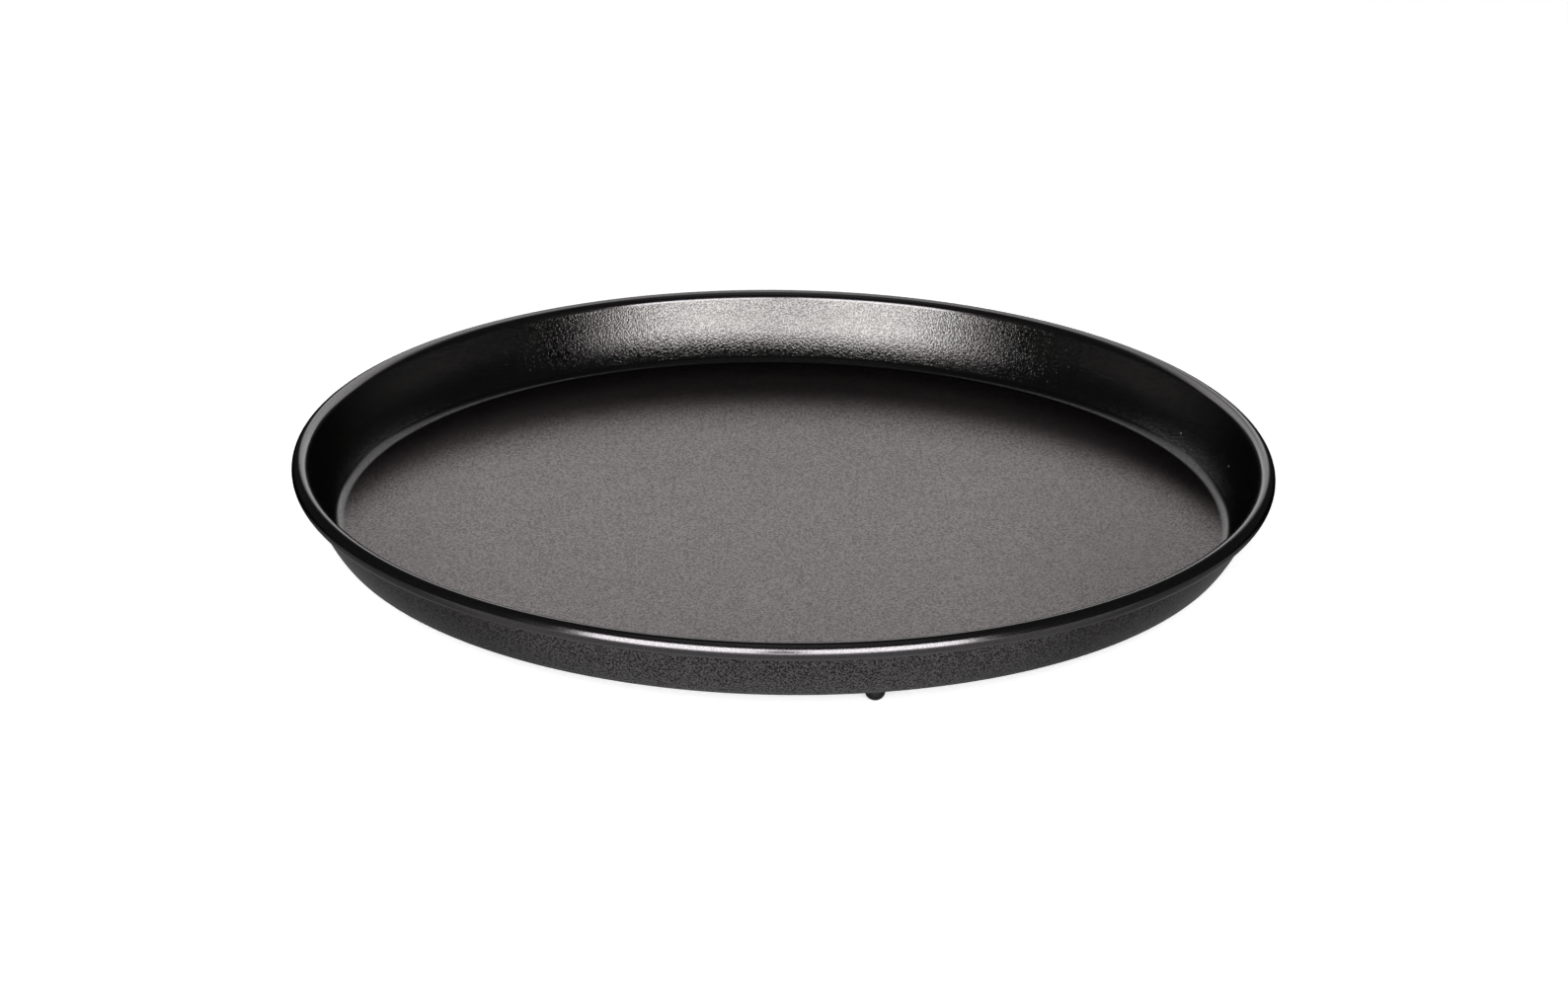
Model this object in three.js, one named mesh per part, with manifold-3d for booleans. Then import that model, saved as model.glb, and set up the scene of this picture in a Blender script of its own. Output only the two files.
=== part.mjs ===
// Microwave crisp plate: a shallow round pan pressed from aluminium sheet with a rolled rim,
// a microwave-absorbing rubber disc bonded under its floor, and short feet on welded studs.
// Units are millimetres, +Z is up, and the origin is the middle of the plane the feet stand on.

import * as THREE from 'three';
import { mergeVertices } from 'three/addons/utils/BufferGeometryUtils.js';
import Module from 'manifold-3d';

// Pan
const RIM_DIAMETER = 280; // over the rolled rim
const PAN_DEPTH = 18.7; // from the top of the rim down to the cooking floor
const WALL_FLARE = 17; // degrees that the wall leans out from upright, up at the rim
const WALL_SWEEP = 30; // inside radius of the slow curve at the foot of the wall
const SWEEP_LEAN = 38; // degrees from upright at the lower end of that curve
const SHEET = 1.5; // thickness of the aluminium sheet
const FLOOR_FILLET = 4; // inside radius where the floor turns up into the wall's foot
const CURL_DIAMETER = 5.2; // outside diameter of the rolled rim
const CURL_SLIT = 0.3; // between the sheet's cut edge and the wall that it curls back to

// Absorber disc under the floor
const ABSORBER_THICKNESS = 2;
const ABSORBER_INSET = 5; // from the edge of the pan's flat base in to the edge of the disc
const ABSORBER_EDGE_RADIUS = 1; // rounding of the lower edge
const ABSORBER_WEB = 2.7; // rubber left between a foot's hole and the edge of the disc

// Feet and the studs that hold them
const FOOT_COUNT = 3;
const FOOT_CLOCKING = -76.5; // degrees from +X to the first foot
const FOOT_HEIGHT = 8; // from the plane it stands on up to the pan's base
const FOOT_PAD_DIAMETER = 2; // flat at the end of the ball
const FOOT_WALL = 1.1; // between the stud's socket and the outside
const FOOT_SOLE = 3.2; // solid end below the socket
const FOOT_DRAFT = 3; // degrees of taper that let the foot out of its mould
const FOOT_ROOT_FILLET = 0.8;
const FOOT_SEAT_LEDGE = 1.2; // flat of the seat outside the root fillet
const STUD_DIAMETER = 3;
const STUD_CHAMFER = 0.4;
const CLEARANCE = 0.3; // between a piece and the hole that it sits in

// Fineness of the facets
const PLATE_SEGMENTS = 96;
const FOOT_SEGMENTS = 24;
const ARC_STEP = THREE.MathUtils.degToRad(20);
const QUARTER_TURN = Math.PI / 2;

// Heights that the pieces share
const baseZ = FOOT_HEIGHT;
const floorZ = baseZ + SHEET;
const rimTopZ = floorZ + PAN_DEPTH;
const absorberZ = baseZ - ABSORBER_THICKNESS;

// Wall and rolled rim: the inside of the wall runs tangent to the outside of the curl
const flare = THREE.MathUtils.degToRad(WALL_FLARE);
const curlRadius = CURL_DIAMETER / 2;
const curlCentre = new THREE.Vector2(RIM_DIAMETER / 2 - curlRadius, rimTopZ - curlRadius);

// The sweep touches the same wall line, so its centre follows from the curl's centre, and the
// floor's fillet touches the sweep where the sweep's lean ends
const sweepLean = THREE.MathUtils.degToRad(SWEEP_LEAN);
const filletCentreZ = floorZ + FLOOR_FILLET;
const sweepCentreZ = filletCentreZ + (WALL_SWEEP - FLOOR_FILLET) * Math.sin(sweepLean);
const reach = curlRadius + WALL_SWEEP;
const wallRun = (curlCentre.y + reach * Math.sin(flare) - sweepCentreZ) / Math.cos(flare);
const sweepCentreX = curlCentre.x - reach * Math.cos(flare) - wallRun * Math.sin(flare);
const flatRadius = sweepCentreX + (WALL_SWEEP - FLOOR_FILLET) * Math.cos(sweepLean);
const sweepCentre = new THREE.Vector2(sweepCentreX, sweepCentreZ);
const filletCentre = new THREE.Vector2(flatRadius, filletCentreZ);

// Foot: a ball-ended peg round the stud's socket, with a wider seat against the pan
const socketRadius = STUD_DIAMETER / 2 + CLEARANCE;
const pegRadius = socketRadius + FOOT_WALL;
const padRadius = FOOT_PAD_DIAMETER / 2;
const ballHeight = Math.sqrt(pegRadius ** 2 - padRadius ** 2);
const draft = THREE.MathUtils.degToRad(FOOT_DRAFT);
const rootZ = absorberZ - FOOT_ROOT_FILLET;
const rootRadius = pegRadius / Math.cos(draft) + (rootZ - ballHeight) * Math.tan(draft);
const rootCentre = new THREE.Vector2(rootRadius + FOOT_ROOT_FILLET / Math.cos(draft), rootZ);
const seatRadius = rootCentre.x + FOOT_SEAT_LEDGE;

// The feet stand on a circle that leaves the web of rubber outside their holes
const absorberRadius = flatRadius - ABSORBER_INSET;
const footHoleRadius = seatRadius + CLEARANCE;
const footCircleRadius = absorberRadius - ABSORBER_WEB - footHoleRadius;
const footPlaces = Array.from({ length: FOOT_COUNT }, (_, index) => {
  const angle = THREE.MathUtils.degToRad(FOOT_CLOCKING) + (2 * Math.PI * index) / FOOT_COUNT;
  const x = footCircleRadius * Math.cos(angle);
  const y = footCircleRadius * Math.sin(angle);
  return { angle, x, y };
});

const wasm = await Module();
wasm.setup();

// Points along an arc, with one at every quarter turn so that the arc keeps its full width
function arc(centre, radius, from, to) {
  const low = Math.min(from, to);
  const high = Math.max(from, to);
  const stops = [low];
  for (let turn = Math.floor(low / QUARTER_TURN) + 1; turn * QUARTER_TURN < high; turn += 1) {
    stops.push(turn * QUARTER_TURN);
  }
  stops.push(high);
  const angles = [low];
  for (let i = 1; i < stops.length; i += 1) {
    const span = stops[i] - stops[i - 1];
    const steps = Math.ceil(span / ARC_STEP);
    for (let step = 1; step <= steps; step += 1) {
      angles.push(stops[i - 1] + (span * step) / steps);
    }
  }
  if (from > to) {
    angles.reverse();
  }
  return angles.map(
    (angle) => new THREE.Vector2(Math.cos(angle), Math.sin(angle)).multiplyScalar(radius).add(centre),
  );
}

// Turns a profile of (radius, height) about the Z axis
function revolve(profile, segments) {
  return new THREE.LatheGeometry(profile, segments).rotateX(Math.PI / 2);
}

// A closed geometry as a solid for cutting
function solid(geometry) {
  const bare = geometry.clone();
  bare.deleteAttribute('normal');
  bare.deleteAttribute('uv');
  const merged = mergeVertices(bare);
  return new wasm.Manifold(
    new wasm.Mesh({
      numProp: 3,
      vertProperties: new Float32Array(merged.attributes.position.array),
      triVerts: new Uint32Array(merged.index.array),
    }),
  );
}

// A solid back as a geometry
function geometryOf(body) {
  const mesh = body.getMesh();
  const geometry = new THREE.BufferGeometry();
  geometry.setAttribute('position', new THREE.BufferAttribute(mesh.vertProperties, mesh.numProp));
  geometry.setIndex(new THREE.BufferAttribute(mesh.triVerts, 1));
  geometry.computeVertexNormals();
  return geometry;
}

// One sheet of even thickness: base, corner, sweep, flared wall and a curl that rolls outward
// until its cut edge comes back to the wall, then the same line again along the inside face
function panGeometry() {
  const wallSide = Math.PI - flare;
  const unrolled = Math.acos((curlRadius - SHEET - CURL_SLIT) / curlRadius);
  const curlEnd = wallSide - (2 * Math.PI - unrolled);
  const profile = [
    new THREE.Vector2(0, baseZ),
    ...arc(filletCentre, FLOOR_FILLET + SHEET, -QUARTER_TURN, -sweepLean),
    ...arc(sweepCentre, WALL_SWEEP + SHEET, -sweepLean, -flare).slice(1),
    ...arc(curlCentre, curlRadius - SHEET, wallSide, curlEnd),
    ...arc(curlCentre, curlRadius, curlEnd, wallSide),
    ...arc(sweepCentre, WALL_SWEEP, -flare, -sweepLean),
    ...arc(filletCentre, FLOOR_FILLET, -sweepLean, -QUARTER_TURN).slice(1),
    new THREE.Vector2(0, floorZ),
  ];
  return revolve(profile, PLATE_SEGMENTS);
}

// A disc with a rounded lower edge, cut through for the seats of the feet
function absorberGeometry() {
  const edgeCentre = new THREE.Vector2(
    absorberRadius - ABSORBER_EDGE_RADIUS,
    absorberZ + ABSORBER_EDGE_RADIUS,
  );
  const disc = revolve(
    [
      new THREE.Vector2(0, absorberZ),
      ...arc(edgeCentre, ABSORBER_EDGE_RADIUS, -QUARTER_TURN, 0),
      new THREE.Vector2(absorberRadius, baseZ),
      new THREE.Vector2(0, baseZ),
    ],
    PLATE_SEGMENTS,
  );
  const drillLength = ABSORBER_THICKNESS + 2 * CLEARANCE;
  const drill = new THREE.CylinderGeometry(footHoleRadius, footHoleRadius, drillLength, FOOT_SEGMENTS);
  drill.rotateX(Math.PI / 2);
  let body = solid(disc);
  for (const { angle, x, y } of footPlaces) {
    const hole = drill.clone().rotateZ(angle).translate(x, y, absorberZ + ABSORBER_THICKNESS / 2);
    body = body.subtract(solid(hole));
  }
  return geometryOf(body);
}

function footGeometry() {
  const ballCentre = new THREE.Vector2(0, ballHeight);
  const padAngle = -Math.acos(padRadius / pegRadius);
  const profile = [
    new THREE.Vector2(0, 0),
    ...arc(ballCentre, pegRadius, padAngle, -draft),
    ...arc(rootCentre, FOOT_ROOT_FILLET, Math.PI - draft, QUARTER_TURN),
    new THREE.Vector2(seatRadius, absorberZ),
    new THREE.Vector2(seatRadius, baseZ),
    new THREE.Vector2(socketRadius, baseZ),
    new THREE.Vector2(socketRadius, FOOT_SOLE),
    new THREE.Vector2(0, FOOT_SOLE),
  ];
  return revolve(profile, FOOT_SEGMENTS);
}

function studGeometry() {
  const studRadius = STUD_DIAMETER / 2;
  const studEndZ = FOOT_SOLE + CLEARANCE;
  const profile = [
    new THREE.Vector2(0, studEndZ),
    new THREE.Vector2(studRadius - STUD_CHAMFER, studEndZ),
    new THREE.Vector2(studRadius, studEndZ + STUD_CHAMFER),
    new THREE.Vector2(studRadius, baseZ),
    new THREE.Vector2(0, baseZ),
  ];
  return revolve(profile, FOOT_SEGMENTS);
}

const finishes = {
  nonstickSheet: { color: 0x3a3737, roughness: 0.45, metalness: 0.4 },
  absorberRubber: { color: 0x2e2c2c, roughness: 0.85, metalness: 0 },
  footRubber: { color: 0x171717, roughness: 0.55, metalness: 0 },
  studMetal: { color: 0xb8b9ba, roughness: 0.4, metalness: 1 },
};

function piece(name, geometry, finish) {
  const mesh = new THREE.Mesh(geometry, new THREE.MeshStandardMaterial(finish));
  mesh.name = name;
  return mesh;
}

const plate = new THREE.Group();
plate.add(piece('pan', panGeometry(), finishes.nonstickSheet));
plate.add(piece('absorber', absorberGeometry(), finishes.absorberRubber));
footPlaces.forEach(({ angle, x, y }, index) => {
  const stand = new THREE.Group();
  stand.add(piece(`foot_${index + 1}`, footGeometry(), finishes.footRubber));
  stand.add(piece(`foot_stud_${index + 1}`, studGeometry(), finishes.studMetal));
  stand.position.set(x, y, 0);
  stand.rotation.z = angle;
  plate.add(stand);
});

export default plate;
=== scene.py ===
# %% [markdown]
# # A microwave crisp plate
# A crisp plate is a shallow aluminium pan with a non-stick coating. Under its floor sits a disc
# of rubber filled with ferrite, which takes up the microwaves and gets hot, so the pan browns
# food from below. Short feet keep the hot base off the glass turntable.
#
# The solids that were built for construction are loaded first, as a fixed frame. Every piece
# that we make afterwards takes its place and its overall size from that frame.

# %% Load the frame
import math

import bmesh
import bpy
from mathutils import Matrix, Vector


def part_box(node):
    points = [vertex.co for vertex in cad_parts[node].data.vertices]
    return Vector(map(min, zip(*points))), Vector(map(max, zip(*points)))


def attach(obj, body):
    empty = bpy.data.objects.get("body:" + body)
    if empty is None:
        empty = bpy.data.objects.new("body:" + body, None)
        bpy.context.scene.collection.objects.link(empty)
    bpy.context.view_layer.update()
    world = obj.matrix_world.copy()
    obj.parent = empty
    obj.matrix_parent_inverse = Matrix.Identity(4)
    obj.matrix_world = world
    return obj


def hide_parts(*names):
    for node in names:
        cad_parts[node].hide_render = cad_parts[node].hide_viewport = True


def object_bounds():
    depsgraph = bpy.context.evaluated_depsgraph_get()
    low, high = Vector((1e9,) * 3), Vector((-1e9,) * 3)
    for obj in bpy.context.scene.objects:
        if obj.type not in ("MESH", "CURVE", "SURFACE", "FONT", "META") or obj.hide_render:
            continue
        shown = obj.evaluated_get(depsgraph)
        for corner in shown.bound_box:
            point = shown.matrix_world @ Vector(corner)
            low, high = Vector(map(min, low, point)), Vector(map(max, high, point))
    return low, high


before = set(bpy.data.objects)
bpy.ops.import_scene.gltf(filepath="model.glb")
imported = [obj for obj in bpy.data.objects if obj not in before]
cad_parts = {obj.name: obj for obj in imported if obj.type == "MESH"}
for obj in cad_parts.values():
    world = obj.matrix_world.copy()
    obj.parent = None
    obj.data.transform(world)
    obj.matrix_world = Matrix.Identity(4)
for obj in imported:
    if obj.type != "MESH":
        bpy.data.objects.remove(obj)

cad_low, cad_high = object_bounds()
MM = 0.001
print("the plate measures", [round(side / MM, 2) for side in cad_high - cad_low], "mm")

# %% [markdown]
# ## The camera
# The photograph was taken with a long lens from about three metres, a little over 20 degrees
# above the table. A long lens flattens perspective: the near and far rim curve almost alike.
# We could move a camera about until the ellipse fits, but it is surer to write down the angle,
# the distance and the focal length, and to build the camera's axes from them.

# %% Camera
IMAGE_WIDTH_PIXELS = 1588
FOCAL_LENGTH_PIXELS = 10661
SENSOR_WIDTH_MM = 36.0
CAMERA_ELEVATION = math.radians(21.55)
CAMERA_ROLL = math.radians(0.824)
CAMERA_DISTANCE = 3.0
CAMERA_REACH = 100
AIM_RIGHT_OF_AXIS = 0.22 * MM
AIM_BELOW_RIM = 10.53 * MM

aim = Vector((AIM_RIGHT_OF_AXIS, 0, cad_high.z - AIM_BELOW_RIM))
backward = Vector((0, -math.cos(CAMERA_ELEVATION), math.sin(CAMERA_ELEVATION)))
level_view = (-backward).to_track_quat("-Z", "Y").to_matrix()
rolled_view = level_view @ Matrix.Rotation(CAMERA_ROLL, 3, "Z")

camera = bpy.data.objects.new("camera", bpy.data.cameras.new("camera"))
camera.data.sensor_width = SENSOR_WIDTH_MM
camera.data.lens = FOCAL_LENGTH_PIXELS * SENSOR_WIDTH_MM / IMAGE_WIDTH_PIXELS
camera.data.clip_end = CAMERA_REACH
camera.matrix_world = Matrix.Translation(aim + CAMERA_DISTANCE * backward) @ rolled_view.to_4x4()
bpy.context.scene.collection.objects.link(camera)
bpy.context.scene.camera = camera
bpy.context.scene.view_settings.view_transform = "Standard"
print("lens", round(camera.data.lens, 1), "mm at", CAMERA_DISTANCE, "m")

# %% [markdown]
# ## Helpers for node trees
# Every finish here is procedural, so we will add many nodes. That could be done line by line, but
# a few short helpers keep the recipes easy to read. One makes a node, sets its inputs and links
# whatever is itself the output of another node. The others cover the steps that come up most: one
# step of arithmetic, a choice between two values, and easing a value from one range to another.

# %% Node helpers
def new_tree(owner):
    """The emptied node tree of a material or a world."""
    owner.use_nodes = True
    owner.node_tree.nodes.clear()
    return owner.node_tree


def fill(tree, socket, value):
    """Link an input to another node's output, or set its value; None leaves it as it is."""
    if isinstance(value, bpy.types.NodeSocket):
        tree.links.new(value, socket)
    elif value is not None:
        socket.default_value = value


def add_node(tree, kind, *values, **options):
    """A shader node whose inputs take the values in order."""
    made = tree.nodes.new("ShaderNode" + kind)
    for option, value in options.items():
        setattr(made, option, value)
    for socket, value in zip(made.inputs, values):
        fill(tree, socket, value)
    return made


def calculate(tree, operation, *values):
    """The result of one step of arithmetic."""
    return add_node(tree, "Math", *values, operation=operation).outputs[0]


def choose(tree, switch, when_off, when_on):
    """One of two values, by a switch that is 0 or 1."""
    return add_node(tree, "MapRange", switch, 0, 1, when_off, when_on).outputs[0]


def remap(tree, value, low, high, to_low, to_high):
    """A value eased from one range to another, and held at its ends."""
    made = add_node(tree, "MapRange", value, low, high, to_low, to_high)
    made.interpolation_type = "SMOOTHSTEP"
    return made.outputs[0]


node_helpers = (new_tree, fill, add_node, calculate, choose, remap)
print("node helpers:", *(helper.__name__ for helper in node_helpers))

# %% [markdown]
# ## The studio
# A dark, glossy object is drawn by what it reflects. Here a bright backdrop stands behind the
# plate, two soft boxes stand in front of it to the left and right, and the ceiling is dark. The
# backdrop gives the grey of the floor and the top of the rim, the soft boxes give the highlight
# on the far wall and the near rim, and the dark ceiling leaves the walls black.
#
# A whole room could be modelled, but none of its edges would show, so the ceiling and the rest of
# the room are a world. It has three brightnesses: white for the camera, dim for the matt surfaces,
# and nearly black in reflections, where only the ceiling right overhead is a little lighter. A
# reflection of a reflection sees even less of it.

# %% World
WHITE = (1, 1, 1, 1)
ROOM_FOR_CAMERA = 1.0
ROOM_LIGHT = 0.15
ROOM_IN_REFLECTIONS = 0.025
CEILING_IN_REFLECTIONS = 0.20
CEILING_REACH = 0.92, 0.985             # the upward part of a direction
ROOM_IN_LATER_REFLECTIONS = 0.001
WORLD_DEPTH_LIMIT = 2.5                 # the first reflection sees the world at a ray depth of 2


def build_world():
    world = bpy.context.scene.world or bpy.data.worlds.new("studio")
    bpy.context.scene.world = world
    tree = new_tree(world)
    path = add_node(tree, "LightPath").outputs
    direction = add_node(tree, "TexCoord").outputs["Generated"]
    _, _, upward = add_node(tree, "SeparateXYZ", direction).outputs
    room = remap(tree, upward, *CEILING_REACH, ROOM_IN_REFLECTIONS, CEILING_IN_REFLECTIONS)
    first = calculate(tree, "LESS_THAN", path["Ray Depth"], WORLD_DEPTH_LIMIT)
    reflected = choose(tree, first, ROOM_IN_LATER_REFLECTIONS, room)
    unseen = choose(tree, path["Is Glossy Ray"], ROOM_LIGHT, reflected)
    strength = choose(tree, path["Is Camera Ray"], unseen, ROOM_FOR_CAMERA)
    background = add_node(tree, "Background", WHITE, strength)
    add_node(tree, "OutputWorld", background.outputs[0])
    print("world of", len(tree.nodes), "nodes")


build_world()

# %% [markdown]
# A soft box is a lamp behind a white cloth. It could be a glowing plane, but Blender's area lamp
# is made for this and gives less noise. A lamp's power is worked out from the brightness that its
# face should show in a reflection, because that is what the photograph tells us. The lamp overhead
# is hidden from reflections: it only lights the table and softens the shadow.

# %% Lamps
SOFT_BOX_BRIGHTNESS = 9.8
SOFT_BOX_DISTANCE = 1.0
SOFT_BOX_FOOT = math.radians(-1)
SOFT_BOXES = {
    "soft_box_left": {"azimuth": math.radians(-23), "top": math.radians(40.5), "width": 0.69},
    "soft_box_right": {"azimuth": math.radians(22.5), "top": math.radians(37), "width": 0.64},
}
TOP_LAMP_BRIGHTNESS = 0.15
TOP_LAMP_SIZE = 2.4, 2.4
TOP_LAMP_HEIGHT = 2.0


def add_lamp(name, place, size, brightness, in_reflections=True):
    """An area lamp that faces the middle of the table."""
    lamp = bpy.data.lights.new(name, "AREA")
    lamp.shape = "RECTANGLE"
    lamp.size, lamp.size_y = size
    lamp.energy = brightness * math.pi * size[0] * size[1]
    facing = (-place).to_track_quat("-Z", "Y").to_matrix().to_4x4()
    stand = bpy.data.objects.new(name, lamp)
    stand.matrix_world = Matrix.Translation(place) @ facing
    stand.visible_camera = False
    stand.visible_glossy = in_reflections
    bpy.context.scene.collection.objects.link(stand)
    print(name, "gives", round(lamp.energy, 2), "W")


for name, box in SOFT_BOXES.items():
    elevation = (box["top"] + SOFT_BOX_FOOT) / 2
    box_height = 2 * SOFT_BOX_DISTANCE * math.tan((box["top"] - SOFT_BOX_FOOT) / 2)
    level = SOFT_BOX_DISTANCE * math.cos(elevation)
    height = SOFT_BOX_DISTANCE * math.sin(elevation)
    place = Vector((level * math.sin(box["azimuth"]), -level * math.cos(box["azimuth"]), height))
    add_lamp(name, place, (box["width"], box_height), SOFT_BOX_BRIGHTNESS)
add_lamp("top_lamp", Vector((0, 0, TOP_LAMP_HEIGHT)), TOP_LAMP_SIZE, TOP_LAMP_BRIGHTNESS, False)

# %% [markdown]
# The table is a plain pale disc. A square would do too, but a disc has no corner to turn up in
# another view. Its paint is lit like any other surface, so it keeps the soft shadow under the
# plate, and a little light of its own lifts it to white for the camera and in reflections.

# %% Table
TABLE_RADIUS = 4.0
TABLE_DROP = 0.05 * MM
TABLE_COLOUR = (0.80, 0.80, 0.80, 1)
TABLE_LIFT = 0.62
TABLE_STEPS = 96


def new_finish(name):
    """A material and its empty node tree."""
    finish = bpy.data.materials.new(name)
    return finish, new_tree(finish)


def ring(radius, height, steps, middle=(0, 0)):
    """Points round a level circle."""
    points = []
    for step in range(steps):
        angle = 2 * math.pi * step / steps
        x = middle[0] + radius * math.cos(angle)
        y = middle[1] + radius * math.sin(angle)
        points.append((x, y, height))
    return points


def add_mesh(name, points, faces):
    mesh = bpy.data.meshes.new(name)
    mesh.from_pydata(points, [], faces)
    made = bpy.data.objects.new(name, mesh)
    bpy.context.scene.collection.objects.link(made)
    return made


def table_paint():
    paint, tree = new_finish("table_paint")
    matt = add_node(tree, "BsdfDiffuse", TABLE_COLOUR)
    path = add_node(tree, "LightPath").outputs
    seen = calculate(tree, "ADD", path["Is Camera Ray"], path["Is Glossy Ray"])
    seen = calculate(tree, "ADD", seen, path["Is Transmission Ray"])
    lift = add_node(tree, "Emission", WHITE, calculate(tree, "MULTIPLY", seen, TABLE_LIFT))
    both = add_node(tree, "AddShader", matt.outputs[0], lift.outputs[0])
    add_node(tree, "OutputMaterial", both.outputs[0])
    return paint


table = add_mesh("table", ring(TABLE_RADIUS, -TABLE_DROP, TABLE_STEPS), [range(TABLE_STEPS)])
table.data.materials.append(table_paint())
print("table", 2 * TABLE_RADIUS, "m across")

# %% [markdown]
# Just above the table lies a card that only the gloss can see. Photographers use such cards to
# draw a dark edge round a shiny object on a white ground. We could darken the coating itself in
# those places, but paint stays where it is when the plate turns, and a reflection doesn't.
#
# The card glows, and its glow is painted. It is black under the plate, as a painted shadow of the
# plate, and black behind it, but for a grey strip close to the wall. It is dim beside the plate and
# grey in front, and far in front it is bright, a painted reflection of the soft boxes as a satin
# table mirrors them.

# %% Reflection card
CARD_INNER_RADIUS = 20 * MM
CARD_OUTER_RADIUS = 3.9
CARD_HEIGHT = 0.5 * MM
CARD_RISE = 10 * MM
CARD_STEPS = 96
CARD_PAINTED_SHADOW = 0.103, 0.130
CARD_SIDE_LIGHT = 0.18
CARD_SIDE_REACH = 0.03, -0.03
CARD_BACK_LIGHT = 0.30
CARD_BACK_REACH = 0.06, 0.12
CARD_BACK_EDGE = 0.165, 0.190
CARD_FRONT_LIGHT = 0.27
CARD_FRONT_REACH = -0.09, -0.14
CARD_FAR_LIGHT = 5.0
CARD_FAR_REACH = -0.17, -0.34
CARD_FAR_SLANT = 0.75
CARD_FAR_EDGE = -0.03, 0.05


def card_paint():
    """Light that depends only on the place on the card."""
    paint, tree = new_finish("card_paint")
    place = add_node(tree, "TexCoord").outputs["Object"]
    across, along, _ = add_node(tree, "SeparateXYZ", place).outputs
    radius = add_node(tree, "VectorMath", place, operation="LENGTH").outputs["Value"]

    beside = remap(tree, along, *CARD_SIDE_REACH, 0, CARD_SIDE_LIGHT)
    front = remap(tree, along, *CARD_FRONT_REACH, 0, CARD_FRONT_LIGHT)
    behind = remap(tree, along, *CARD_BACK_REACH, 0, CARD_BACK_LIGHT)
    behind = calculate(tree, "MULTIPLY", behind, remap(tree, radius, *CARD_BACK_EDGE, 1, 0))
    around = calculate(tree, "ADD", calculate(tree, "ADD", beside, front), behind)
    # painted shadow: the glow fades out under the plate, where the plate shades the table
    near = calculate(tree, "MULTIPLY", around, remap(tree, radius, *CARD_PAINTED_SHADOW, 0, 1))

    # painted reflection: far in front the card glows as a satin table does where it mirrors the
    # soft boxes
    aside = calculate(tree, "ABSOLUTE", across)
    outward = calculate(tree, "MULTIPLY_ADD", along, CARD_FAR_SLANT, aside)
    far = remap(tree, along, *CARD_FAR_REACH, 0, CARD_FAR_LIGHT)
    far = calculate(tree, "MULTIPLY", far, remap(tree, outward, *CARD_FAR_EDGE, 1, 0))

    glow = add_node(tree, "Emission", WHITE, calculate(tree, "ADD", near, far))
    add_node(tree, "OutputMaterial", glow.outputs[0])
    return paint


def show_only_in_gloss(made):
    made.visible_camera = False
    made.visible_diffuse = False
    made.visible_shadow = False
    made.visible_transmission = False


card_points = ring(CARD_INNER_RADIUS, CARD_HEIGHT, CARD_STEPS)
card_points += ring(CARD_OUTER_RADIUS, CARD_HEIGHT + CARD_RISE, CARD_STEPS)
card_faces = []
for step in range(CARD_STEPS):
    following = (step + 1) % CARD_STEPS
    card_faces.append((step, step + CARD_STEPS, following + CARD_STEPS, following))
card = add_mesh("reflection_card", card_points, card_faces)
card.data.materials.append(card_paint())
show_only_in_gloss(card)
print("reflection card", 2 * CARD_OUTER_RADIUS, "m across")

# %% [markdown]
# The backdrop is a lit panel a metre behind the plate, brightest low down. A white card hangs
# between them, close behind the plate. Their heights and widths can be read off the plate: the
# top of the card ends the light on the near rim and on the fillet round the back of the floor,
# and the sides end the light on the left and right of the rim.
#
# They could be area lamps, but a lamp is equally bright all over. A panel with a glowing paint can
# fade towards its edges, as cloth does that is lit from one side. Only the first reflection sees
# the panels. The photograph has deep blacks, and second reflections, from the floor into the side
# walls, would grey them.

# %% Backdrop
PANEL_DEPTH_LIMIT = 1.5                 # the first reflection sees a mesh at a ray depth of 1


def lit_panel_paint(name, light, left_fade, right_fade, foot_fade, top_fade):
    """A glow that darkens towards the top of the panel and turns clear at its sides and foot."""
    paint, tree = new_finish(name)
    place = add_node(tree, "TexCoord").outputs["Object"]
    across, _, height = add_node(tree, "SeparateXYZ", place).outputs
    depth = add_node(tree, "LightPath").outputs["Ray Depth"]
    first = calculate(tree, "LESS_THAN", depth, PANEL_DEPTH_LIMIT)
    shade = add_node(tree, "MapRange", height, *top_fade, light, 0).outputs[0]
    glow = add_node(tree, "Emission", WHITE, calculate(tree, "MULTIPLY", shade, first))
    solid = remap(tree, across, *left_fade, 0, 1)
    solid = calculate(tree, "MULTIPLY", solid, remap(tree, across, *right_fade, 1, 0))
    solid = calculate(tree, "MULTIPLY", solid, remap(tree, height, *foot_fade, 0, 1))
    clear = add_node(tree, "BsdfTransparent")
    both = add_node(tree, "MixShader", solid, clear.outputs[0], glow.outputs[0])
    add_node(tree, "OutputMaterial", both.outputs[0])
    return paint


def add_lit_panel(name, distance, light, left_fade, right_fade, foot_fade, top_fade):
    """An upright panel behind the plate, as large as its fades."""
    left, right, foot, top = left_fade[0], right_fade[1], foot_fade[0], top_fade[1]
    corners = [
        (left, distance, foot),
        (right, distance, foot),
        (right, distance, top),
        (left, distance, top),
    ]
    panel = add_mesh(name, corners, [range(len(corners))])
    paint = lit_panel_paint(name, light, left_fade, right_fade, foot_fade, top_fade)
    panel.data.materials.append(paint)
    show_only_in_gloss(panel)
    print(name, "is", round(right - left, 2), "m wide and ends", top, "m above the table")
    return panel


backdrop = add_lit_panel(
    "backdrop", distance=1.0, light=2.15, left_fade=(-0.41, -0.16), right_fade=(0.23, 0.47),
    foot_fade=(0.22, 0.30), top_fade=(0.27, 0.57),
)
white_card = add_lit_panel(
    "white_card", distance=0.22, light=1.3, left_fade=(-0.17, -0.08), right_fade=(0.05, 0.13),
    foot_fade=(0.085, 0.105), top_fade=(0.165, 0.25),
)

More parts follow.
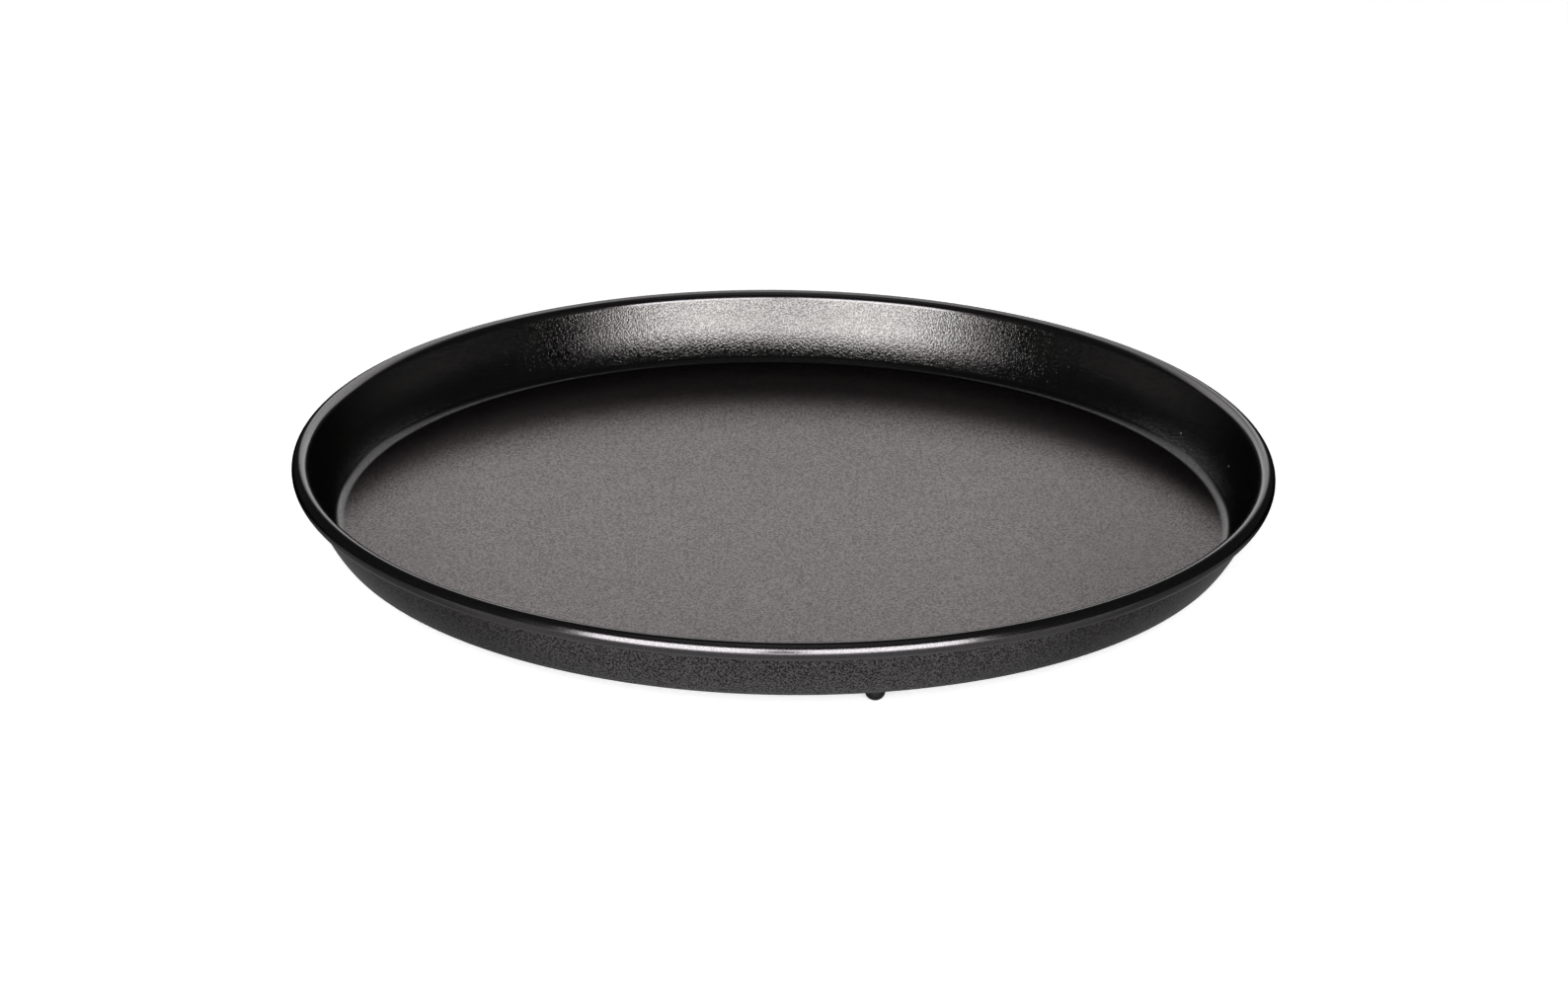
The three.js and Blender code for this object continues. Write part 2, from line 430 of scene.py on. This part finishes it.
# %% [markdown]
# ## The non-stick coating
# The pan is sprayed with a dark non-stick coating and baked. It is a clear binder filled with
# black pigment, so it shines like a plastic and not like a metal: the colour below is almost
# black, and the greys that we see are reflections.
#
# The floor also carries three faint rosettes of short strokes, a third of a turn apart. They are
# too shallow to model: all that shows is that the strokes shine a little more. To draw all three
# at once, the angle round the plate is wrapped into a third of a turn.

# %% Rosettes
ROSETTE_COUNT = 3
ROSETTE_CIRCLE = 57 * MM
ROSETTE_CLOCKING = math.radians(-91)
ROSETTE_INSIDE = 3.0 * MM, 4.5 * MM
ROSETTE_OUTSIDE = 8.5 * MM, 10.5 * MM
ROSETTE_STROKES = 9
ROSETTE_STROKE_EDGE = 0.2, 0.8


def rosettes(tree, place):
    """1 on the strokes of the rosettes and 0 elsewhere."""
    flat = add_node(tree, "VectorMath", place, (1, 1, 0), operation="MULTIPLY").outputs[0]
    x, y, _ = add_node(tree, "SeparateXYZ", flat).outputs
    radius = add_node(tree, "VectorMath", flat, operation="LENGTH").outputs["Value"]
    turned = calculate(tree, "SUBTRACT", calculate(tree, "ARCTAN2", y, x), ROSETTE_CLOCKING)
    half_share = math.pi / ROSETTE_COUNT
    angle = calculate(tree, "WRAP", turned, half_share, -half_share)

    out = calculate(tree, "MULTIPLY", radius, calculate(tree, "COSINE", angle))
    out = calculate(tree, "SUBTRACT", out, ROSETTE_CIRCLE)
    aside = calculate(tree, "MULTIPLY", radius, calculate(tree, "SINE", angle))
    from_middle = add_node(tree, "CombineXYZ", out, aside).outputs[0]
    reach = add_node(tree, "VectorMath", from_middle, operation="LENGTH").outputs["Value"]
    in_ring = remap(tree, reach, *ROSETTE_INSIDE, 0, 1)
    in_ring = calculate(tree, "MULTIPLY", in_ring, remap(tree, reach, *ROSETTE_OUTSIDE, 1, 0))

    strokes = calculate(tree, "MULTIPLY", calculate(tree, "ARCTAN2", aside, out), ROSETTE_STROKES)
    on_stroke = remap(tree, calculate(tree, "COSINE", strokes), *ROSETTE_STROKE_EDGE, 0, 1)
    return calculate(tree, "MULTIPLY", on_stroke, in_ring)


print("rosettes:", ROSETTE_COUNT, "with", ROSETTE_STROKES, "strokes each")

# %% [markdown]
# A few pale mineral specks show in the coating, less than half a millimetre wide. Each could be a
# tiny mesh, but a cell pattern scatters them for nothing: it splits space into cells, gives each
# one a random colour, and we keep only the rarest cells and only the middle of those.

# %% Specks
SPECK_SPACING = 3.2 * MM
SPECK_RADIUS = 0.17 * MM


def specks(tree, place, share):
    """1 on round specks and 0 elsewhere; share is how many of the cells have one."""
    cells = add_node(tree, "TexVoronoi", place)
    fill(tree, cells.inputs["Scale"], 1 / SPECK_SPACING)
    lottery = add_node(tree, "SeparateColor", cells.outputs["Color"]).outputs["Red"]
    chosen = calculate(tree, "LESS_THAN", lottery, share)
    near = calculate(tree, "LESS_THAN", cells.outputs["Distance"], SPECK_RADIUS / SPECK_SPACING)
    return calculate(tree, "MULTIPLY", chosen, near)


print("specks are", round(2 * SPECK_RADIUS / MM, 2), "mm wide")

# %% [markdown]
# One function makes all the finishes of the coating. The grain could be an image of a real
# surface, but noise needs no image, has no seams and keeps its size in millimetres. It does two
# things: it tilts the surface a little, and it changes how strongly the binder shines, because
# pigment breaks through its skin in the hollows. A second, wide noise changes the roughness slowly.

# %% Coating
COATING_DARK = (0.0007, 0.0007, 0.0007, 1)
COATING_PALE = (0.0021, 0.0020, 0.0020, 1)
COATING_IOR = 1.9
SPECK_COLOUR = (0.42, 0.41, 0.40, 1)
ROSETTE_SHINE = 0.08
GRAIN_DETAIL = 2
GRAIN_RANGE = 0.38, 0.62
CLOUD_SIZE = 9 * MM
CLOUD_DETAIL = 4
CLOUD_RANGE = 0.3, 0.7
CLOUD_SPREAD = 0.006


def noise(tree, place, size, detail):
    """A noise between 0 and 1, with lumps of about the given size."""
    made = add_node(tree, "TexNoise", place)
    fill(tree, made.inputs["Scale"], 1 / size)
    fill(tree, made.inputs["Detail"], detail)
    return made.outputs[0]


def relief(tree, height, depth):
    """A surface direction, tilted as if a height of 1 stood proud by the given depth."""
    made = add_node(tree, "Bump")
    fill(tree, made.inputs["Distance"], depth)
    fill(tree, made.inputs["Height"], height)
    return made.outputs[0]


def add_surface(tree, inputs):
    """Blender's general surface shader, with some of its inputs set or linked."""
    shader = add_node(tree, "BsdfPrincipled")
    for name, value in inputs.items():
        fill(tree, shader.inputs[name], value)
    add_node(tree, "OutputMaterial", shader.outputs[0])


def coating(name, roughness, grain_size, grain_depth, shine, tint, speck_share, marked=False):
    finish, tree = new_finish(name)
    place = add_node(tree, "TexCoord").outputs["Object"]
    grain = noise(tree, place, grain_size, GRAIN_DETAIL)
    skin = remap(tree, grain, *GRAIN_RANGE, *shine)
    if marked:
        skin = calculate(tree, "MULTIPLY_ADD", rosettes(tree, place), ROSETTE_SHINE, skin)
    cloud = noise(tree, place, CLOUD_SIZE, CLOUD_DETAIL)
    haze = remap(tree, cloud, *CLOUD_RANGE, roughness - CLOUD_SPREAD, roughness + CLOUD_SPREAD)
    tone = add_node(tree, "MixRGB", grain, COATING_DARK, COATING_PALE).outputs[0]
    speck = specks(tree, place, speck_share)
    add_surface(tree, {
        "Base Color": add_node(tree, "MixRGB", speck, tone, SPECK_COLOUR).outputs[0],
        "Roughness": haze,
        "IOR": COATING_IOR,
        "Specular IOR Level": skin,
        "Specular Tint": tint,
        "Normal": relief(tree, grain, grain_depth),
    })
    print(name, "has a grain of", round(grain_size / MM, 2), "mm")
    return finish


print("the coating's own colour goes from", COATING_DARK[0], "to", COATING_PALE[0])

# %% [markdown]
# The coating comes out differently from place to place. One finish for the whole pan would be too
# even, so it gets five. The coating lies smooth on the rolled rim and shines evenly there. The
# floor has a soft, shallow grain with a warm tint. The drawn wall has a deep, glinting grain, and
# the fillet between the two is the dullest. On the outside the grain varies most, from dull to
# glossy.

# %% Finishes of the coating
coatings = {
    "outside": coating(
        "outside_coating", roughness=0.21, grain_size=0.52 * MM, grain_depth=0.040 * MM,
        shine=(0.10, 0.94), tint=(1, 0.94, 0.95, 1), speck_share=0.008,
    ),
    "rim": coating(
        "rim_coating", roughness=0.17, grain_size=0.40 * MM, grain_depth=0.012 * MM,
        shine=(0.40, 0.56), tint=(1, 0.95, 0.985, 1), speck_share=0.004,
    ),
    "wall": coating(
        "wall_coating", roughness=0.11, grain_size=0.50 * MM, grain_depth=0.125 * MM,
        shine=(0.29, 0.47), tint=(1, 0.965, 0.94, 1), speck_share=0.012,
    ),
    "fillet": coating(
        "fillet_coating", roughness=0.19, grain_size=0.40 * MM, grain_depth=0.012 * MM,
        shine=(0.09, 0.21), tint=(1, 0.93, 0.93, 1), speck_share=0.0,
    ),
    "floor": coating(
        "floor_coating", roughness=0.24, grain_size=0.62 * MM, grain_depth=0.010 * MM,
        shine=(0.09, 0.50), tint=(1, 0.74, 0.74, 1), speck_share=0.0, marked=True,
    ),
}
print("coating finishes:", *coatings)

# %% [markdown]
# ## The pan
# The pan starts as a flat disc of sheet. A press draws it over a tool, which makes the floor, a
# small fillet and a wall that sweeps up from it, and a second tool rolls the edge outward into a
# curl. So the section is one line of even thickness, and the whole pan is that section turned
# about its axis.
#
# The section could be drawn by hand as a curve. It is surer to work out the middle of each arc
# from the frame's box and the radii of the tools, so that every stretch runs into the next without
# a kink.

# %% Sizes of the pan
SHEET = 1.5 * MM
WALL_FLARE = math.radians(17)
WALL_SWEEP = 30 * MM
SWEEP_LEAN = math.radians(38)
FLOOR_FILLET = 4 * MM
CURL_RADIUS = 2.6 * MM
CURL_SLIT = 0.3 * MM

pan_low, pan_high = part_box("pan")
base_z = pan_low.z
floor_z = base_z + SHEET
curl_centre = (pan_high.x - CURL_RADIUS, pan_high.z - CURL_RADIUS)
fillet_z = floor_z + FLOOR_FILLET
sweep_z = fillet_z + (WALL_SWEEP - FLOOR_FILLET) * math.sin(SWEEP_LEAN)
reach = CURL_RADIUS + WALL_SWEEP
wall_run = (curl_centre[1] + reach * math.sin(WALL_FLARE) - sweep_z) / math.cos(WALL_FLARE)
sweep_x = curl_centre[0] - reach * math.cos(WALL_FLARE) - wall_run * math.sin(WALL_FLARE)
sweep_centre = (sweep_x, sweep_z)
flat_radius = sweep_x + (WALL_SWEEP - FLOOR_FILLET) * math.cos(SWEEP_LEAN)
fillet_centre = (flat_radius, fillet_z)
print("flat floor", round(2 * flat_radius / MM, 1), "mm across")

# %% [markdown]
# Now the section itself, as points of radius and height. It runs from the middle of the base round
# the rim to the middle of the floor, in named stretches, so that each can have its own finish. The
# rolled rim gets the most points, because its highlight is narrow and shows every facet.

# %% Section of the pan
OUTWARD = 0                             # directions in a section, as angles
UPWARD = math.pi / 2
INWARD = math.pi
DOWNWARD = -math.pi / 2
BASE_STEPS = 12
FILLET_STEPS = 16
SWEEP_STEPS = 12
WALL_STEPS = 6
CURL_INSIDE_STEPS = 48
CURL_OUTSIDE_STEPS = 96
FLOOR_STEPS = 40


def arc(centre, radius, start, end, steps):
    """Points along an arc of the section."""
    points = []
    for step in range(steps + 1):
        angle = start + (end - start) * step / steps
        points.append((centre[0] + radius * math.cos(angle), centre[1] + radius * math.sin(angle)))
    return points


def straight(start, end, steps):
    """Points between two ends, with the ends left out."""
    shares = [step / steps for step in range(1, steps)]
    return [tuple(a + (b - a) * share for a, b in zip(start, end)) for share in shares]


def pan_section():
    """The named stretches of the section, in order."""
    wall_side = INWARD - WALL_FLARE
    unrolled = math.acos((CURL_RADIUS - SHEET - CURL_SLIT) / CURL_RADIUS)
    curl_end = wall_side - 2 * math.pi + unrolled
    corner = arc(fillet_centre, FLOOR_FILLET + SHEET, DOWNWARD, -SWEEP_LEAN, FILLET_STEPS)
    corner += arc(sweep_centre, WALL_SWEEP + SHEET, -SWEEP_LEAN, -WALL_FLARE, SWEEP_STEPS)[1:]
    curl_inside = arc(curl_centre, CURL_RADIUS - SHEET, wall_side, curl_end, CURL_INSIDE_STEPS)
    curl_outside = arc(curl_centre, CURL_RADIUS, curl_end, wall_side, CURL_OUTSIDE_STEPS)
    sweep = arc(sweep_centre, WALL_SWEEP, -WALL_FLARE, -SWEEP_LEAN, SWEEP_STEPS)
    fillet = arc(fillet_centre, FLOOR_FILLET, -SWEEP_LEAN, DOWNWARD, FILLET_STEPS)[1:]
    middle_below = (0, base_z)
    middle_above = (0, floor_z)
    return [
        ("outside", [middle_below] + straight(middle_below, corner[0], BASE_STEPS) + corner),
        ("outside", straight(corner[-1], curl_inside[0], WALL_STEPS) + curl_inside),
        ("rim", curl_outside),
        ("wall", straight(curl_outside[-1], sweep[0], WALL_STEPS) + sweep),
        ("fillet", fillet),
        ("floor", straight(fillet[-1], middle_above, FLOOR_STEPS) + [middle_above]),
    ]


pan_stretches = pan_section()
print("section of", sum(len(stretch) for _, stretch in pan_stretches), "points")

# %% [markdown]
# Blender has a Screw modifier that turns a section. We write the mesh directly instead, because
# each stretch then keeps its name and its finish. Turning is a loop of rings: a point on the axis
# becomes one vertex, and every other point becomes a ring. Each band of faces takes the finish of
# the stretch that it ends in.

# %% Turn a section
PAN_TURNS = 320
SHARP_EDGE = math.radians(40)
AXIS_WIDTH = 1e-9


def shade_smooth(made):
    made.data.polygons.foreach_set("use_smooth", [True] * len(made.data.polygons))
    made.data.set_sharp_from_angle(angle=SHARP_EDGE)
    print(made.name, "has", len(made.data.polygons), "faces")


def turn_section(name, stretches, turns, finishes, middle=(0, 0)):
    """The body that a section makes as it turns about an upright axis."""
    points = []
    rings = []
    order = list(finishes)
    for finish, stretch in stretches:
        for radius, height in stretch:
            on_axis = radius < AXIS_WIDTH
            rings.append((len(points), on_axis, order.index(finish)))
            points += ring(radius, height, 1 if on_axis else turns, middle)

    faces = []
    slots = []
    for (one, one_on_axis, _), (two, two_on_axis, slot) in zip(rings, rings[1:]):
        for step in range(turns):
            following = (step + 1) % turns
            low = [one] if one_on_axis else [one + step, one + following]
            high = [two] if two_on_axis else [two + following, two + step]
            faces.append(low + high)
            slots.append(slot)

    made = add_mesh(name, points, faces)
    for finish in finishes.values():
        made.data.materials.append(finish)
    made.data.polygons.foreach_set("material_index", slots)
    shade_smooth(made)
    return made


pan = turn_section("pan_pressing", pan_stretches, PAN_TURNS, coatings)
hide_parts("pan")
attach(pan, "root")

# %% [markdown]
# ## The rubbers
# Two silicone rubbers sit under the pan. The disc's is loaded with ferrite powder, which makes it
# matt, dark grey and finely granular. The feet's is black and has a slight sheen. One flat colour
# each would look like plastic, so a fine grain and a wide cloud are multiplied into a patchy
# powder, and the cloud also changes the roughness, as handling does.

# %% Rubber finishes
RUBBER_IOR = 1.45
RUBBER_GRAIN_DETAIL = 3
RUBBER_CLOUD_DETAIL = 2
RUBBER_SPREAD = 0.05
POWDER_RANGE = 0.15, 0.35


def rubber(name, dark, pale, roughness, grain_size, grain_depth):
    finish, tree = new_finish(name)
    place = add_node(tree, "TexCoord").outputs["Object"]
    grain = noise(tree, place, grain_size, RUBBER_GRAIN_DETAIL)
    cloud = noise(tree, place, CLOUD_SIZE, RUBBER_CLOUD_DETAIL)
    powder = remap(tree, calculate(tree, "MULTIPLY", grain, cloud), *POWDER_RANGE, 0, 1)
    worn = remap(tree, cloud, *CLOUD_RANGE, roughness - RUBBER_SPREAD, roughness + RUBBER_SPREAD)
    add_surface(tree, {
        "Base Color": add_node(tree, "MixRGB", powder, dark, pale).outputs[0],
        "Roughness": worn,
        "IOR": RUBBER_IOR,
        "Normal": relief(tree, grain, grain_depth),
    })
    return finish


absorber_rubber = rubber(
    "absorber_rubber", dark=(0.016, 0.015, 0.015, 1), pale=(0.036, 0.034, 0.033, 1),
    roughness=0.80, grain_size=0.7 * MM, grain_depth=0.05 * MM,
)
foot_rubber = rubber(
    "foot_rubber", dark=(0.0035, 0.0035, 0.0035, 1), pale=(0.008, 0.008, 0.008, 1),
    roughness=0.50, grain_size=0.4 * MM, grain_depth=0.008 * MM,
)
print("rubber finishes:", absorber_rubber.name, foot_rubber.name)

# %% [markdown]
# ## The feet
# A foot is a short ball-ended peg of black silicone, moulded with a socket that presses over a
# stud on the pan's base. Its seat lies in a hole of the absorber disc, a hair smaller than the
# hole, and a small fillet carries the peg out of the seat. The slight draft lets it out of its
# mould.
#
# A ball, a cone and a flange could be joined, but the joins would need fillets afterwards. One
# section, from the ground up the outside and down the socket, has them from the start. It comes
# before the disc, because the disc's holes are made to fit the seat.

# %% Section of a foot
PEG_RADIUS = 2.9 * MM
PAD_RADIUS = 1.0 * MM
PEG_DRAFT = math.radians(3)
ROOT_FILLET = 0.8 * MM
SEAT_LEDGE = 1.2 * MM
SOCKET_RADIUS = 1.8 * MM
SOLE = 3.2 * MM
BALL_STEPS = 24
ROOT_STEPS = 12

seat_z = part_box("absorber")[0].z
ball_z = math.sqrt(PEG_RADIUS ** 2 - PAD_RADIUS ** 2)
root_z = seat_z - ROOT_FILLET
root_radius = PEG_RADIUS / math.cos(PEG_DRAFT) + (root_z - ball_z) * math.tan(PEG_DRAFT)
root_centre = (root_radius + ROOT_FILLET / math.cos(PEG_DRAFT), root_z)
seat_radius = root_centre[0] + SEAT_LEDGE

pad_angle = -math.acos(PAD_RADIUS / PEG_RADIUS)
ball = arc((0, ball_z), PEG_RADIUS, pad_angle, -PEG_DRAFT, BALL_STEPS)
root = arc(root_centre, ROOT_FILLET, INWARD - PEG_DRAFT, UPWARD, ROOT_STEPS)
seat = [(seat_radius, seat_z), (seat_radius, base_z)]
socket = [(SOCKET_RADIUS, base_z), (SOCKET_RADIUS, SOLE), (0, SOLE)]
peg_section = [("rubber", [(0, 0)] + ball + root + seat + socket)]
print("a foot's seat is", round(2 * seat_radius / MM, 2), "mm across")

# %% [markdown]
# ## The absorber disc
# The disc is moulded flat and bonded under the base. Three round holes let the feet through to the
# metal. A disc with holes is easy to cut with a boolean, but the cut leaves long thin faces.
# Instead we lay out every ring of points, bridge the rings, and fill between the outline and the
# holes.

# %% Absorber disc
DISC_EDGE_RADIUS = 1.0 * MM
DISC_EDGE_STEPS = 8
DISC_TURNS = 256
HOLE_TURNS = 64
CLEARANCE = 0.3 * MM
FOOT_NAMES = ("foot_1", "foot_2", "foot_3")

foot_boxes = [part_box(name) for name in FOOT_NAMES]
foot_places = [((low.x + high.x) / 2, (low.y + high.y) / 2) for low, high in foot_boxes]


def add_ring(shell, *circle):
    return [shell.verts.new(point) for point in ring(*circle)]


def bridge(shell, low, high):
    """A band of faces between two rings of as many points."""
    for step in range(len(low)):
        following = (step + 1) % len(low)
        shell.faces.new((low[step], low[following], high[following], high[step]))


def fill_between(shell, outlines):
    """Flat faces between an outline and the holes in it."""
    edges = []
    for outline in outlines:
        for one, two in zip(outline, outline[1:] + outline[:1]):
            edges.append(shell.edges.get((one, two)))
    bmesh.ops.triangle_fill(shell, edges=edges, use_beauty=True)


def disc_mesh(hole_radius):
    low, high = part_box("absorber")
    edge_centre = (high.x - DISC_EDGE_RADIUS, low.z + DISC_EDGE_RADIUS)
    section = arc(edge_centre, DISC_EDGE_RADIUS, DOWNWARD, OUTWARD, DISC_EDGE_STEPS)
    section.append((high.x, high.z))
    shell = bmesh.new()
    outside = [add_ring(shell, radius, height, DISC_TURNS) for radius, height in section]
    for one, two in zip(outside, outside[1:]):
        bridge(shell, one, two)
    under = [outside[0]]
    over = [outside[-1]]
    for middle in foot_places:
        under.append(add_ring(shell, hole_radius, low.z, HOLE_TURNS, middle))
        over.append(add_ring(shell, hole_radius, high.z, HOLE_TURNS, middle))
        bridge(shell, under[-1], over[-1])
    fill_between(shell, under)
    fill_between(shell, over)
    bmesh.ops.recalc_face_normals(shell, faces=shell.faces)
    mesh = bpy.data.meshes.new("absorber_disc")
    shell.to_mesh(mesh)
    shell.free()
    return mesh


disc = bpy.data.objects.new("absorber_disc", disc_mesh(seat_radius + CLEARANCE))
bpy.context.scene.collection.objects.link(disc)
disc.data.materials.append(absorber_rubber)
shade_smooth(disc)
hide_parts("absorber")
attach(disc, "root")

# %% [markdown]
# The three feet are alike and stand a third of a turn apart. They could be linked copies of one
# mesh, but each stands for a node of its own in the frame, so the section is turned once at each
# place.

# %% Feet
FOOT_TURNS = 64

for name, middle in zip(FOOT_NAMES, foot_places):
    peg = turn_section(name + "_peg", peg_section, FOOT_TURNS, {"rubber": foot_rubber}, middle)
    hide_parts(name)
    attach(peg, "root")

# %% [markdown]
# ## The studs
# The studs are plain turned pins of bare aluminium, welded to the base and hidden in the feet.
# Their solids need no more shape, so they stay as they are and only get a finish: fine rings that
# a lathe leaves. The rings could be cut into a mesh, but they are too fine to see as shapes, so a
# wave along the pin's length changes its roughness instead, and darkens its colour in the grooves
# as painted shade.

# %% Studs
STUD_NAMES = ("foot_stud_1", "foot_stud_2", "foot_stud_3")
STUD_COLOUR = (0.72, 0.72, 0.73, 1)
# the darker colour of the rings is painted shade in the lathe's grooves
STUD_SHADE = (0.55, 0.55, 0.56, 1)
STUD_ROUGHNESS = 0.42, 0.30
RING_SPACING = 0.754 * MM
RING_WANDER = 0.6
WAVE_RADIANS = 20                       # the wave texture's turn over one unit at a scale of 1


def turned_aluminium():
    finish, tree = new_finish("turned_aluminium")
    place = add_node(tree, "TexCoord").outputs["Object"]
    wave = add_node(tree, "TexWave", place, bands_direction="Z")
    fill(tree, wave.inputs["Scale"], 2 * math.pi / (WAVE_RADIANS * RING_SPACING))
    fill(tree, wave.inputs["Distortion"], RING_WANDER)
    rings = wave.outputs["Fac"]
    add_surface(tree, {
        "Base Color": add_node(tree, "MixRGB", rings, STUD_SHADE, STUD_COLOUR).outputs[0],
        "Metallic": 1.0,
        "Roughness": remap(tree, rings, 0, 1, *STUD_ROUGHNESS),
    })
    return finish


stud_metal = turned_aluminium()
for name in STUD_NAMES:
    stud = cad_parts[name]
    stud.data.materials.clear()
    stud.data.materials.append(stud_metal)
print("studs finished:", len(STUD_NAMES))
